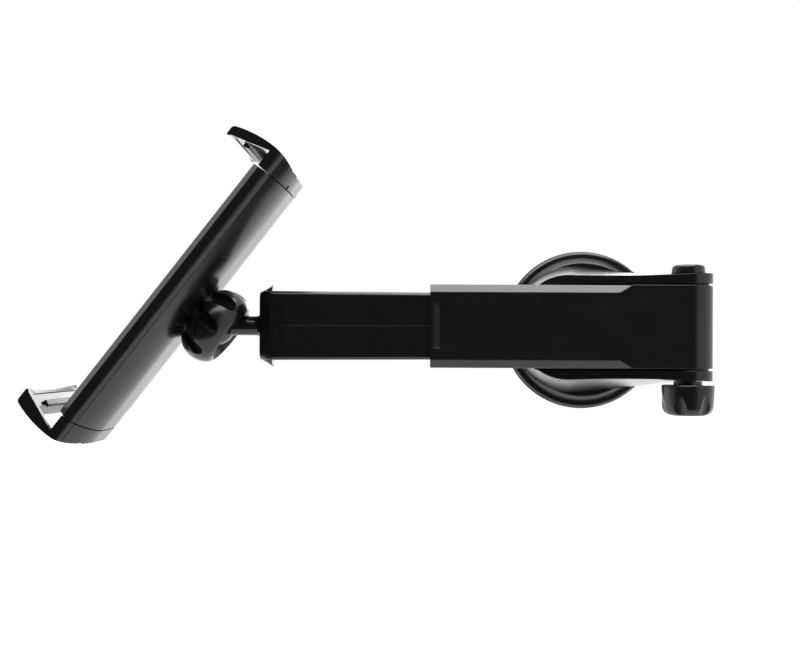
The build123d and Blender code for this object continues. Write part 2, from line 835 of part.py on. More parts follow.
def jaw_pad(end, lip_reach):
    """A soft bar on the leaning inner face of a hook."""
    side = 1 if end > 0 else -1
    low = pad_level()
    high = low + jaw_pad_width
    lean = grip_slope(lip_reach)
    foot = end - side * (hook_thickness + lean * (front_n - low))
    head = end - side * (hook_thickness + lean * (front_n - high))
    proud = side * jaw_pad_thickness
    bar = outline(
        [(foot, low), (head, high), (head - proud, high), (foot - proud, low)],
        rounds=[(2, jaw_pad_round), (3, jaw_pad_round)],
    )
    return bracket_frame * extrude(Plane.XZ * bar, jaw_pad_half_length, both=True)


def upper_jaw():
    start = body_high_u + upper_jaw_gap
    body = hook(body_high_u + upper_jaw_length, start, upper_lip_reach)
    low = start - tongue_length
    body += block(low, start, -tongue_half_width, tongue_half_width, tongue_n, tongue_top_n)
    wide = tongue_ear_half_width
    body += block(low, low + tongue_ear_length, -wide, wide, tongue_n, ear_top_n)
    post = rod_z(spring_post_radius, ear_top_n, spring_n + spring_radius)
    for v in (spring_v, -spring_v):
        body += Pos(low + spring_ear_inset, v, 0) * post
    tab = Box(grip_tab, 2 * grip_tab_half_width, shell_wall, align=(Align.MIN, Align.CENTER, Align.MAX))
    return bracket_frame * (body + Pos(start, 0, crown_n + grip_tab_height) * tab)


def lower_jaw():
    start = body_low_u - slip_gap
    body = hook(body_low_u - lower_jaw_length, start, lower_lip_reach)
    high = body_low_u + lower_tongue_length
    body += block(start, high, -tongue_half_width, tongue_half_width, tongue_n, tongue_top_n)
    for u, v in bracket_screw_places()[2:]:
        body -= Pos(u, v, 0) * rod_z(bracket_screw_boss + running_gap, 2 * front_n, 0)
    return bracket_frame * body


def jaw_spring(v):
    low = body_low_u + spring_post_inset
    high = body_high_u + upper_jaw_gap - tongue_length + spring_ear_inset
    eye_outer = spring_post_radius + running_gap + spring_wire
    coil = Circle(spring_radius) - Circle(spring_radius - spring_wire)
    ends = eye_outer - spring_wire / 2
    body = Pos(0, 0, spring_n) * section_bar(coil, low + ends + spring_wire, high - ends - spring_wire)
    eye = Cylinder(eye_outer, spring_wire) - Cylinder(spring_post_radius + running_gap, 2 * spring_wire)
    bar_length = spring_radius + spring_wire
    half_bar = spring_radius - spring_wire / 2
    low_n, high_n = spring_n - spring_wire / 2, spring_n + spring_wire / 2
    for u, way in ((low, 1), (high, -1)):
        body += Pos(u, 0, spring_n) * eye
        near, far = sorted((u + way * ends, u + way * (ends + bar_length)))
        body += block(near, far, -half_bar, half_bar, low_n, high_n)
    return bracket_frame * Pos(0, v, 0) * body


# All pieces


def pieces():
    upper_half, lower_half = inner_arm_halves()
    washer_level = arm_half_height + ear_gap / 2
    return {
        "suction_cup": suction_cup(),
        "cup_stem": cup_stem(),
        "pressure_ring": pressure_ring(),
        "base_bracket": base_bracket(),
        "base_screws": Compound(children=base_screws()),
        "pivot_bolt": pivot_bolt(),
        "washer_upper": friction_washer(washer_level),
        "washer_lower": friction_washer(-washer_level),
        "clamp_knob": clamp_knob(),
        "knob_insert": knob_insert(),
        "lock_lever": lock_lever(),
        "lever_pin": lever_pin(),
        "outer_arm": outer_arm(),
        "mouth_bush": mouth_bush(),
        "inner_arm_upper": upper_half,
        "inner_arm_lower": lower_half,
        "arm_screws": Compound(children=list(arm_screws())),
        "slide_shoe": slide_shoe(),
        "ball_stud": ball_stud(),
        "ball_seat": ball_seat(),
        "ball_collar": ball_collar(),
        "ball_nut": ball_nut(),
        "bracket_back": bracket_back(),
        "bracket_front": bracket_front(),
        "bracket_screws": Compound(children=bracket_screws()),
        "front_pad": front_pad(),
        "upper_jaw": upper_jaw(),
        "upper_jaw_pad": jaw_pad(body_high_u + upper_jaw_length, upper_lip_reach),
        "lower_jaw": lower_jaw(),
        "lower_jaw_pad": jaw_pad(body_low_u - lower_jaw_length, lower_lip_reach),
        "jaw_spring_near": jaw_spring(spring_v),
        "jaw_spring_far": jaw_spring(-spring_v),
    }


os.makedirs("parts", exist_ok=True)
for name, shape in pieces().items():
    export_step(shape, f"parts/{name}.step")
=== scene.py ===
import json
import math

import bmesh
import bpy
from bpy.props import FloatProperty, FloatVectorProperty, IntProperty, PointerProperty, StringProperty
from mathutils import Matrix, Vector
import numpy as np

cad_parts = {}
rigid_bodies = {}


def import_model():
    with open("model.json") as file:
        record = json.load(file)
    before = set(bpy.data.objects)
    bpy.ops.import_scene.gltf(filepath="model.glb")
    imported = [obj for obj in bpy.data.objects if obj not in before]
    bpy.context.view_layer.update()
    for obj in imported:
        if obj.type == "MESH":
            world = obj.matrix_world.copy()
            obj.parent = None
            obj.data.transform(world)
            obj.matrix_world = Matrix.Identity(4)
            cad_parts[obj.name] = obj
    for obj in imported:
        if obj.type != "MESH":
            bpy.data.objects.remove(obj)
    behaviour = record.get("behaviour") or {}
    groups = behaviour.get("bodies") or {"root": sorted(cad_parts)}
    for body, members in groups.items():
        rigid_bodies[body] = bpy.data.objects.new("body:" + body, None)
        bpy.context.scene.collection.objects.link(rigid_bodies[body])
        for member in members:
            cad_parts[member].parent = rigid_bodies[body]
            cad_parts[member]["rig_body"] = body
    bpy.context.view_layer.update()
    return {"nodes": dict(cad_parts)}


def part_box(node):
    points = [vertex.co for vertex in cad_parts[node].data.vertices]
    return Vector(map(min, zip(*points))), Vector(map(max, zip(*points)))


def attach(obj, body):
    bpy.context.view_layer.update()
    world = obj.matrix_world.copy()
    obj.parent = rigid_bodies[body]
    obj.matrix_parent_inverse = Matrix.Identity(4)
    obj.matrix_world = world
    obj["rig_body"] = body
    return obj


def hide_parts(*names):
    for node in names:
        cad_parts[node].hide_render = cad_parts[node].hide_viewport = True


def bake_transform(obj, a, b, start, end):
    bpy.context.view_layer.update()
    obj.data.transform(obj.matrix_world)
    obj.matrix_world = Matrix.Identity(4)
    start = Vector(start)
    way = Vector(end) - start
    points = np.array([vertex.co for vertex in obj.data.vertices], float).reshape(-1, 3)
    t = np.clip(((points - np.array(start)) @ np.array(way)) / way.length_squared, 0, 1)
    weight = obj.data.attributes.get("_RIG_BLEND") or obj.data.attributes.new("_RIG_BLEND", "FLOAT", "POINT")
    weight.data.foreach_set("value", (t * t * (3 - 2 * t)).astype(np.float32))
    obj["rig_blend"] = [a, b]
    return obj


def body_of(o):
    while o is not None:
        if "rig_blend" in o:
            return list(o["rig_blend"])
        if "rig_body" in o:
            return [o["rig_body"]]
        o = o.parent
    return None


bl_info = {
    "name": "Tablet holder looks",
    "version": (1, 0, 0),
    "blender": (4, 5, 0),
    "location": "View3D > Sidebar > Holder",
    "description": "Dresses the packed tablet holder with moulded pieces, finishes and a studio",
    "category": "Object",
}

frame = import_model()

MM = 0.001
PHOTO_WIDTH = 800
PHOTO_HEIGHT = 666

# The bracket leans back round the ball: along its length, across it, and out of its back
BALL = Vector((-193.9, -54.0, 0)) * MM
INCLINE = math.radians(52.1)
ALONG = Vector((math.cos(INCLINE), 0, math.sin(INCLINE)))
ACROSS = Vector((0, 1, 0))
OUTWARD = Vector((math.sin(INCLINE), 0, -math.cos(INCLINE)))

# The bracket's measures in the part's source, taken from the ball
FRONT = -25.3 * MM              # level of the front plate's face
CROWN = -10.5 * MM              # level of the back's crown
CROWN_FLAT = 20.0 * MM          # where the back's slopes begin
CROWN_FOOT = 33.7 * MM          # where they end
CROWN_TALL = 7.7 * MM           # how far they fall
CROWN_ROUND = 14.0 * MM         # radius between them and the crown
HALF_WIDTH = 36.0 * MM
JAW_FACE = -75.55 * MM          # face of the lower jaw against the shell
PEDESTAL_RIM = 19.0 * MM        # radius of the pedestal under the nut
PEDESTAL_TOP = -10.1 * MM
HOOK_THICK = 4.2 * MM
WINDOW_HALF = 20.5 * MM         # half the width of a jaw's window
WINDOW_EDGE = FRONT - 13.6 * MM     # level of the window's outer edge
HOOK_LEAN = 0.2                 # slope of a hook's outer face at that edge

# Each jaw's end along the bracket, the slope of its inner face, and how far its bar slides along that face
JAWS = (
    ("upper_jaw", 88.2 * MM, 0.285, 3.0 * MM),
    ("lower_jaw", -87.7 * MM, 0.414, 3.6 * MM),
)

# The end cap along the arm, and the arm's half height there
CAP_RIM = -164.3 * MM
CAP_FACE = -168.5 * MM
CAP_FILLET = -171.9 * MM
ARM_HALF = 17.2 * MM

ON_FACE = 0.02 * MM             # a corner this close to a face belongs to it
CUT = 0.001 * MM                # a cut this close to a corner goes through it


# Settings


class HolderFinish(bpy.types.PropertyGroup):
    """Colours and textures of the holder's materials."""

    plastic: StringProperty(
        name="Plastic", description="Colour of the moulded plastic", default="#0b0b0c")
    plastic_flow: StringProperty(
        name="Plastic flow", description="Lighter colour in the plastic's flow marks", default="#101011")
    rubber: StringProperty(
        name="Rubber", description="Colour of the cup and pads", default="#121212")
    rubber_bloom: StringProperty(
        name="Rubber bloom", description="Greyer colour where the rubber has bloomed", default="#1a1a1a")
    nylon: StringProperty(
        name="Nylon", description="Colour of the sliding and seating pieces", default="#0e0e0f")
    nylon_fibre: StringProperty(
        name="Nylon fibre", description="Colour of the glass fibres near the nylon's skin", default="#19191a")
    steel: StringProperty(
        name="Steel", description="Colour of the zinc-plated screws and springs", default="#b4b6b9")
    steel_shade: StringProperty(
        name="Steel shade", description="Darker colour in the zinc's spangle", default="#9a9ca0")
    brass: StringProperty(
        name="Brass", description="Colour of the knob's insert", default="#c8a45c")
    brass_shade: StringProperty(
        name="Brass shade", description="Darker colour in the brass", default="#a98646")
    grain: FloatProperty(
        name="Grain", description="Width of the moulded grain", default=0.5 * MM, unit="LENGTH", precision=5)
    flow: FloatProperty(
        name="Flow", description="Width of the plastic's flow marks", default=18 * MM, unit="LENGTH",
        precision=5)
    bloom: FloatProperty(
        name="Bloom", description="Width of the bloomed spots on the rubber", default=6 * MM, unit="LENGTH",
        precision=5)
    skin: FloatProperty(
        name="Skin", description="Width of the pores in the rubber's skin", default=0.6 * MM, unit="LENGTH",
        precision=5)
    fibre: FloatProperty(
        name="Fibre", description="Width of the nylon's fibres", default=0.4 * MM, unit="LENGTH", precision=5)
    spangle: FloatProperty(
        name="Spangle", description="Width of the zinc's crystals", default=0.9 * MM, unit="LENGTH",
        precision=5)
    tool_mark: FloatProperty(
        name="Tool mark", description="Width of the marks in the turned brass", default=0.5 * MM,
        unit="LENGTH", precision=5)


class HolderSizes(bpy.types.PropertyGroup):
    """Sizes of the pieces that the scene models."""

    edge: FloatProperty(
        name="Moulded edge", description="Rounding of the plastic's outer edges", default=0.35 * MM,
        unit="LENGTH", precision=5)
    soft_edge: FloatProperty(
        name="Rubber edge", description="Rounding of the rubber's edges", default=0.3 * MM,
        unit="LENGTH", precision=5)
    spring_coil: FloatProperty(
        name="Coil radius", description="Radius of the draw springs at the wire's middle", default=1.55 * MM,
        unit="LENGTH", precision=5)
    spring_wire: FloatProperty(
        name="Spring wire", description="Thickness of the springs' wire", default=0.8 * MM,
        unit="LENGTH", precision=5)
    spring_turns: IntProperty(
        name="Turns", description="Turns in each draw spring", default=46, min=4)
    spring_eye: FloatProperty(
        name="Eye radius", description="Radius of the springs' end eyes at the wire's middle",
        default=1.9 * MM, unit="LENGTH", precision=5)
    thread_pitch: FloatProperty(
        name="Thread pitch", description="Distance between a screw's threads", default=1.0 * MM,
        unit="LENGTH", precision=5)
    jaw_edge: FloatProperty(
        name="Jaw edge", description="Rounding of the jaws' outer edges", default=0.5 * MM,
        unit="LENGTH", precision=5)
    back_round: FloatProperty(
        name="Back rounding", description="Radius that blends the bracket's slopes into its back",
        default=46.0 * MM, unit="LENGTH", precision=5)
    pedestal_top: FloatProperty(
        name="Pedestal top", description="Radius of the pedestal's top under the nut", default=16.5 * MM,
        unit="LENGTH", precision=5)
    jaw_post: FloatProperty(
        name="Jaw post", description="Width of the posts beside a jaw's window", default=3.0 * MM,
        unit="LENGTH", precision=5)
    window_overlap: FloatProperty(
        name="Window overlap", description="How far a jaw's window reaches under its soft bar",
        default=2.0 * MM, unit="LENGTH", precision=5)
    jaw_thinner: FloatProperty(
        name="Jaw hollow", description="How far a jaw's inner face is drawn back", default=1.2 * MM,
        unit="LENGTH", precision=5)
    bar_reach: FloatProperty(
        name="Bar reach", description="Reach of a jaw's soft bar to each side", default=24.0 * MM,
        unit="LENGTH", precision=5)
    jaw_seam: FloatProperty(
        name="Jaw seam", description="Gap that shows between the lower jaw and the bracket",
        default=0.5 * MM, unit="LENGTH", precision=5)
    front_rise: FloatProperty(
        name="Front rise", description="Height of the front plate's raised face", default=3.0 * MM,
        unit="LENGTH", precision=5)
    front_slope: FloatProperty(
        name="Front slope", description="Width of the slope along the front plate's long sides",
        default=4.5 * MM, unit="LENGTH", precision=5)
    cap_forward: FloatProperty(
        name="Cap forward", description="How far the end cap's face stands further forward", default=1.7 * MM,
        unit="LENGTH", precision=5)
    cap_tab: FloatProperty(
        name="Cap tab", description="Half the width of the end cap's tabs above and below the arm",
        default=6.0 * MM, unit="LENGTH", precision=5)
    cup_hollow: FloatProperty(
        name="Cup hollow", description="Depth of the suction cup's dished face", default=0.9 * MM,
        unit="LENGTH", precision=5)


class HolderStage(bpy.types.PropertyGroup):
    """Camera, lamps and backdrop."""

    optical_axis: FloatVectorProperty(
        name="Optical axis", description="Pixel of the photograph's frame that the lens points at",
        size=2, default=(430.0, 359.0))
    focal_pixels: FloatProperty(
        name="Focal length", description="Focal length in pixels of the photograph's frame", default=1106.0)
    camera_place: FloatVectorProperty(
        name="Camera", description="Place of the camera", size=3, subtype="TRANSLATION",
        default=(-0.0843, -0.619, -0.0166))
    camera_roll: FloatProperty(
        name="Roll", description="Turn of the camera about its own axis", default=math.radians(-0.25),
        subtype="ANGLE")
    floor_height: FloatProperty(
        name="Floor", description="Height of the floor", default=-0.26, unit="LENGTH")
    floor_radius: FloatProperty(
        name="Floor radius", description="Radius of the round floor", default=2.5, unit="LENGTH")
    floor_middle: FloatProperty(
        name="Floor middle", description="How far the floor's middle lies behind the part", default=2.2,
        unit="LENGTH")
    floor_colour: StringProperty(
        name="Floor colour", description="Colour of the matt floor", default="#e4e4e4")
    shade_span: FloatVectorProperty(
        name="Shade span", description="Distances from the part between which the floor pales to white",
        size=2, default=(0.3, 0.9))
    part_middle: FloatProperty(
        name="Part middle", description="Place of the part's middle from left to right", default=-0.09,
        unit="LENGTH")
    softbox_watts: FloatProperty(
        name="Softbox", description="Power of the softbox overhead", default=10.5)
    softbox_size: FloatVectorProperty(
        name="Softbox size", description="Width and depth of the softbox", size=2, default=(0.8, 0.9))
    softbox_place: FloatVectorProperty(
        name="Softbox place", description="Place of the softbox", size=3, subtype="TRANSLATION",
        default=(-0.09, -0.22, 0.6))


# Helpers


def linear(text):
    """An sRGB hex colour as linear values with full alpha."""
    parts = [int(text[i:i + 2], 16) / 255 for i in (1, 3, 5)]
    values = [c / 12.92 if c <= 0.04045 else ((c + 0.055) / 1.055) ** 2.4 for c in parts]
    return (*values, 1.0)


def add_node(tree, kind, settings=None, values=None, links=None):
    """Add one shader node with its settings, input values and incoming links."""
    made = tree.nodes.new(kind)
    for key, value in (settings or {}).items():
        setattr(made, key, value)
    for key, value in (values or {}).items():
        made.inputs[key].default_value = value
    for key, source in (links or {}).items():
        tree.links.new(source, made.inputs[key])
    return made


def new_material(name):
    """A material with an empty tree, its surface shader and its object coordinates."""
    material = bpy.data.materials.new(name)
    material.use_nodes = True
    tree = material.node_tree
    tree.nodes.clear()
    shader = add_node(tree, "ShaderNodeBsdfPrincipled")
    add_node(tree, "ShaderNodeOutputMaterial", links={"Surface": shader.outputs["BSDF"]})
    place = add_node(tree, "ShaderNodeTexCoord").outputs["Object"]
    return material, tree, shader, place


def dress(material_parts, colours, pattern, roughness, height, depth):
    """Link a two-colour pattern, its gloss range and its relief to a material's shader."""
    tree, shader = material_parts
    ramp = add_node(tree, "ShaderNodeValToRGB", links={"Fac": pattern})
    ramp.color_ramp.elements[0].color = linear(colours[0])
    ramp.color_ramp.elements[1].color = linear(colours[1])
    gloss = add_node(tree, "ShaderNodeMapRange", values={"To Min": roughness[0], "To Max": roughness[1]},
                     links={"Value": pattern})
    bump = add_node(tree, "ShaderNodeBump", values={"Strength": 0.5, "Distance": depth},
                    links={"Height": height})
    tree.links.new(ramp.outputs["Color"], shader.inputs["Base Color"])
    tree.links.new(gloss.outputs["Result"], shader.inputs["Roughness"])
    tree.links.new(bump.outputs["Normal"], shader.inputs["Normal"])


def add_piece(name, bm, node, material):
    """Make a mesh object that stands for a CAD node and rides on its body."""
    mesh = bpy.data.meshes.new(name)
    bm.to_mesh(mesh)
    bm.free()
    mesh.materials.append(material)
    mesh.polygons.foreach_set("use_smooth", [True] * len(mesh.polygons))
    mesh.set_sharp_from_angle(angle=math.radians(40))
    piece = bpy.data.objects.new(name, mesh)
    bpy.context.scene.collection.objects.link(piece)
    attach(piece, body_of(frame["nodes"][node])[0])
    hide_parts(node)
    return piece


def merged(node):
    """A copy of a CAD node's mesh with its triangles joined up."""
    bm = bmesh.new()
    bm.from_mesh(frame["nodes"][node].data)
    bmesh.ops.remove_doubles(bm, verts=bm.verts, dist=2 * CUT)
    return bm


def round_edges(bm, edge):
    """Join flat triangles and round the sharp edges between the faces."""
    flat, corner = math.radians(0.3), math.radians(28)
    bmesh.ops.dissolve_limit(bm, angle_limit=flat, verts=bm.verts, edges=bm.edges)
    sharp = [e for e in bm.edges if len(e.link_faces) == 2 and e.calc_face_angle() > corner]
    bmesh.ops.bevel(bm, geom=sharp, offset=edge, offset_type="OFFSET", segments=2, profile=0.5,
                    affect="EDGES", material=-1, clamp_overlap=True)


def cut(bm, faces, place, way):
    """Cut some faces of a mesh along a plane."""
    edges = dict.fromkeys(edge for face in faces for edge in face.edges)
    corners = dict.fromkeys(corner for face in faces for corner in face.verts)
    bmesh.ops.bisect_plane(bm, geom=[*faces, *edges, *corners], dist=CUT, plane_co=place, plane_no=way)


def from_ball(corner):
    """A corner's places along the bracket, across it and out of its back, taken from the ball."""
    away = corner.co - BALL
    return away.dot(ALONG), away.dot(ACROSS), away.dot(OUTWARD)


def add_moulding(node, bm, material):
    """Replace a CAD node by its moulded shape, with even shading."""
    piece = add_piece(node + "_moulded", bm, node, material)
    even = piece.modifiers.new("Even shading", "WEIGHTED_NORMAL")
    even.keep_sharp = True


def finish_nodes(nodes, material):
    """Give CAD nodes that stay their finish."""
    for node in nodes:
        frame["nodes"][node].data.materials.clear()
        frame["nodes"][node].data.materials.append(material)


def turned(points, steps, axis):
    """A closed solid turned from points of radius and height, standing on an axis at the origin."""
    bm = bmesh.new()
    side = axis.orthogonal().normalized()
    chain = [bm.verts.new(side * radius + axis * height) for radius, height in points]
    edges = [bm.edges.new(pair) for pair in zip(chain, chain[1:])]
    bmesh.ops.spin(bm, geom=chain + edges, cent=(0, 0, 0), axis=axis, dvec=(0, 0, 0),
                   angle=math.tau, steps=steps, use_merge=True)
    bmesh.ops.remove_doubles(bm, verts=bm.verts, dist=CUT)
    bmesh.ops.recalc_face_normals(bm, faces=bm.faces)
    return bm


def islands(node):
    """The corners of each separate solid in a CAD node."""
    bm = merged(node)
    left = dict.fromkeys(bm.verts)
    found = []
    while left:
        group = [left.popitem()[0]]
        for corner in group:
            near = [other for other in (edge.other_vert(corner) for edge in corner.link_edges) if other in left]
            for other in near:
                del left[other]
            group.extend(near)
        found.append([corner.co.copy() for corner in group])
    bm.free()
    return found


# Materials


def moulded_abs(finish):
    """Black ABS from a spark-eroded mould: fine grain, and a satin gloss that lights up at grazing angles."""
    name = "Moulded black ABS"
    if name in bpy.data.materials:
        return bpy.data.materials[name]
    material, tree, shader, place = new_material(name)
    # The real grain is about 0.1 mm; drawn coarser so that it shows
    grain = add_node(tree, "ShaderNodeTexNoise", values={"Scale": 1 / finish.grain, "Detail": 2.0},
                     links={"Vector": place})
    flow = add_node(tree, "ShaderNodeTexNoise", values={"Scale": 1 / finish.flow, "Detail": 3.0},
                    links={"Vector": place})
    shader.inputs["IOR"].default_value = 1.53
    dress((tree, shader), (finish.plastic, finish.plastic_flow), flow.outputs["Fac"], (0.2, 0.27),
          grain.outputs["Fac"], 0.012 * MM)
    return material


def soft_rubber(finish):
    """Black silicone rubber: dull, a little bloomed, with no sharp highlight."""
    name = "Black silicone rubber"
    if name in bpy.data.materials:
        return bpy.data.materials[name]
    material, tree, shader, place = new_material(name)
    bloom = add_node(tree, "ShaderNodeTexNoise", values={"Scale": 1 / finish.bloom, "Detail": 4.0},
                     links={"Vector": place})
    skin = add_node(tree, "ShaderNodeTexVoronoi", values={"Scale": 1 / finish.skin}, links={"Vector": place})
    shader.inputs["IOR"].default_value = 1.43
    dress((tree, shader), (finish.rubber, finish.rubber_bloom), bloom.outputs["Fac"], (0.3, 0.42),
          skin.outputs["Distance"], 0.02 * MM)
    return material


def filled_nylon(finish):
    """Dark glass-filled nylon: matt skin with faint pale fibres that follow the flow."""
    material, tree, shader, place = new_material("Glass-filled nylon")
    # The fibres lie along the arm
    drawn = add_node(tree, "ShaderNodeMapping", values={"Scale": (0.15, 1.0, 1.0)}, links={"Vector": place})
    fibres = add_node(tree, "ShaderNodeTexNoise", values={"Scale": 1 / finish.fibre, "Detail": 2.0},
                      links={"Vector": drawn.outputs["Vector"]})
    shader.inputs["IOR"].default_value = 1.53
    dress((tree, shader), (finish.nylon, finish.nylon_fibre), fibres.outputs["Fac"], (0.42, 0.55),
          fibres.outputs["Fac"], 0.01 * MM)
    return material


def plated_steel(finish):
    """Zinc-plated steel: pale grey metal with a soft spangle from the plating bath."""
    name = "Zinc-plated steel"
    if name in bpy.data.materials:
        return bpy.data.materials[name]
    material, tree, shader, place = new_material(name)
    spangle = add_node(tree, "ShaderNodeTexVoronoi", values={"Scale": 1 / finish.spangle},
                       links={"Vector": place})
    shader.inputs["Metallic"].default_value = 1.0
    dress((tree, shader), (finish.steel, finish.steel_shade), spangle.outputs["Distance"], (0.24, 0.36),
          spangle.outputs["Distance"], 0.004 * MM)
    return material


def turned_brass(finish):
    """Turned brass: warm yellow metal with fine marks from the tool."""
    material, tree, shader, place = new_material("Turned brass")
    marks = add_node(tree, "ShaderNodeTexNoise", values={"Scale": 1 / finish.tool_mark, "Detail": 2.0},
                     links={"Vector": place})
    shader.inputs["Metallic"].default_value = 1.0
    dress((tree, shader), (finish.brass, finish.brass_shade), marks.outputs["Fac"], (0.22, 0.34),
          marks.outputs["Fac"], 0.004 * MM)
    return material


# Pieces


class HOLDER_OT_shells(bpy.types.Operator):
    """Round the edges of the moulded plastic pieces"""

    bl_idname = "holder.shells"
    bl_label = "Plastic mouldings"

    def execute(self, context):
        plastic = moulded_abs(context.scene.holder_finish)
        sizes = context.scene.holder_sizes
        for node in ("pressure_ring", "base_bracket", "clamp_knob", "lock_lever", "pivot_bolt", "outer_arm",
                     "inner_arm_upper", "inner_arm_lower", "ball_stud", "ball_nut"):
            moulding = merged(node)
            if node == "ball_stud":
                shape_cap(moulding, sizes.cap_forward, sizes.cap_tab)
            round_edges(moulding, sizes.edge)
            add_moulding(node, moulding, plastic)
        return {"FINISHED"}


def shape_cap(bm, forward, tab):
    """Bring the end cap's face forward, and leave only arched tabs of its rim standing over the arm."""
    for spot in (-tab, -tab / 2, 0, tab / 2, tab):
        cut(bm, list(bm.faces), BALL + ACROSS * spot, ACROSS)
    for corner in bm.verts:
        proud = abs(corner.co.z) - ARM_HALF
        if proud > 0:
            fall = min(1.0, abs(corner.co.y - BALL.y) / tab) ** 2
            corner.co.z -= math.copysign(proud * fall, corner.co.z)
        if CAP_FILLET - ON_FACE < corner.co.x < CAP_RIM:
            corner.co.x -= forward * min(1.0, (CAP_RIM - corner.co.x) / (CAP_RIM - CAP_FACE))


class HOLDER_OT_front(bpy.types.Operator):
    """Raise the front plate's face between sloped long sides, with its pad on it"""

    bl_idname = "holder.front"
    bl_label = "Front plate and pad"

    def execute(self, context):
        finish, sizes = context.scene.holder_finish, context.scene.holder_sizes
        rise = -OUTWARD * sizes.front_rise
        plate = merged("bracket_front")
        level = min(v.co.dot(OUTWARD) for v in plate.verts)
        low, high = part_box("bracket_front")
        slopes = (low.y + sizes.front_slope, high.y - sizes.front_slope)
        for edge in slopes:
            cut(plate, list(plate.faces), ACROSS * edge, ACROSS)
        face = [v for v in plate.verts if v.co.dot(OUTWARD) < level + ON_FACE
                and slopes[0] - ON_FACE < v.co.y < slopes[1] + ON_FACE]
        bmesh.ops.translate(plate, verts=face, vec=rise)
        round_edges(plate, sizes.edge)
        add_moulding("bracket_front", plate, moulded_abs(finish))
        pad = merged("front_pad")
        bmesh.ops.translate(pad, verts=pad.verts, vec=rise)
        round_edges(pad, sizes.soft_edge)
        add_moulding("front_pad", pad, soft_rubber(finish))
        return {"FINISHED"}


def back_drop(across, rounding):
    """How far the bracket's back lies below its crown at a distance from the middle line."""
    lean = math.atan2(CROWN_TALL, CROWN_FOOT - CROWN_FLAT)
    start = CROWN_FLAT - rounding * math.tan(lean / 2)
    if across < start:
        return 0.0
    if across < start + rounding * math.sin(lean):
        return rounding - math.sqrt(rounding ** 2 - (across - start) ** 2)
    return (across - CROWN_FLAT) * math.tan(lean)


def back_step(corner, rounding):
    """How far a new rounding moves a corner of the bracket's back, or None for a corner off the back."""
    skin = 0.6 * MM     # takes in the rounded edges and the pedestal
    _, across, level = from_ball(corner)
    before = back_drop(abs(across), CROWN_ROUND)
    if abs(across) < CROWN_FOOT and abs(CROWN - level - before) < skin:
        return before - back_drop(abs(across), rounding)
    return None


def round_back(bm, rounding):
    """Blend the slopes of the bracket's back into its crown with one large radius."""
    reach, lane = 32, 2     # the back is cut into lanes, in millimetres
    for spot in range(-reach, reach + 1, lane):
        faces = [f for f in bm.faces if all(back_step(v, rounding) is not None for v in f.verts)]
        cut(bm, faces, BALL + ACROSS * spot * MM, ACROSS)
    moves = [(corner, back_step(corner, rounding)) for corner in bm.verts]
    for corner, move in moves:
        if move:
            corner.co += OUTWARD * move


def slope_pedestal(bm, narrow):
    """Draw in the top of the pedestal under the nut, so that its step becomes a faint slope."""
    for corner in bm.verts:
        along, across, level = from_ball(corner)
        radius = math.hypot(along, across)
        if abs(radius - PEDESTAL_RIM) < ON_FACE and abs(level - PEDESTAL_TOP) < ON_FACE:
            corner.co -= (ALONG * along + ACROSS * across) * (1 - narrow / PEDESTAL_RIM)


class HOLDER_OT_back(bpy.types.Operator):
    """Round the bracket's back shell"""

    bl_idname = "holder.back"
    bl_label = "Bracket back"

    def execute(self, context):
        sizes = context.scene.holder_sizes
        shell = merged("bracket_back")
        slope_pedestal(shell, sizes.pedestal_top)
        round_edges(shell, sizes.edge)
        round_back(shell, sizes.back_round)
        add_moulding("bracket_back", shell, moulded_abs(context.scene.holder_finish))
        return {"FINISHED"}


class HOLDER_OT_jaws(bpy.types.Operator):
    """Open the jaws' windows up to slim posts and lay their soft bars across"""

    bl_idname = "holder.jaws"
    bl_label = "Jaws and bars"

    def execute(self, context):
        finish, sizes = context.scene.holder_finish, context.scene.holder_sizes
        plastic, rubber = moulded_abs(finish), soft_rubber(finish)
        for node, end, lean, slide in JAWS:
            side = math.copysign(1, end)
            thinner = ALONG * side * sizes.jaw_thinner
            jaw = merged(node)
            open_window(jaw, end, lean, slide - sizes.window_overlap, sizes.jaw_post)
            bmesh.ops.translate(jaw, verts=inner_face(jaw, end, lean), vec=thinner)
            if end < 0:
                part_seam(jaw, sizes.jaw_seam)
            round_edges(jaw, sizes.jaw_edge)
            round_back(jaw, sizes.back_round)
            add_moulding(node, jaw, plastic)
            bar = merged(node + "_pad")
            for corner in bar.verts:
                corner.co.y = BALL.y + math.copysign(sizes.bar_reach, corner.co.y - BALL.y)
            bmesh.ops.translate(bar, verts=bar.verts, vec=slide * (OUTWARD + ALONG * side * lean) + thinner)
            round_edges(bar, sizes.soft_edge)
            add_moulding(node + "_pad", bar, rubber)
        return {"FINISHED"}


def inner_face(bm, end, lean):
    """The corners of a hook's leaning inner face."""
    slack = 0.1 * MM    # the slopes are rounded figures
    found = []
    for corner in bm.verts:
        along, _, level = from_ball(corner)
        depth = FRONT - level
        if depth > -ON_FACE and abs(abs(along - end) - HOOK_THICK - lean * depth) < slack:
            found.append(corner)
    return found


def open_window(bm, end, lean, shorter, post):
    """Widen a jaw's window to the posts, and end it under the bar."""
    side = math.copysign(1, end)
    for corner in bm.verts:
        along, across, level = from_ball(corner)
        if abs(abs(across) - WINDOW_HALF) > ON_FACE or level > FRONT:
            continue
        corner.co += ACROSS * math.copysign(HALF_WIDTH - post - WINDOW_HALF, across)
        if level < WINDOW_EDGE + ON_FACE:
            inner = abs(along - end) > 1.2 * HOOK_THICK
            corner.co += (OUTWARD + ALONG * side * (lean if inner else HOOK_LEAN)) * shorter


def part_seam(bm, gap):
    """Draw the lower jaw's block back from the bracket's end."""
    face = [v for v in bm.verts if abs(from_ball(v)[0] - JAW_FACE) < ON_FACE]
    bmesh.ops.translate(bm, verts=face, vec=ALONG * -gap)


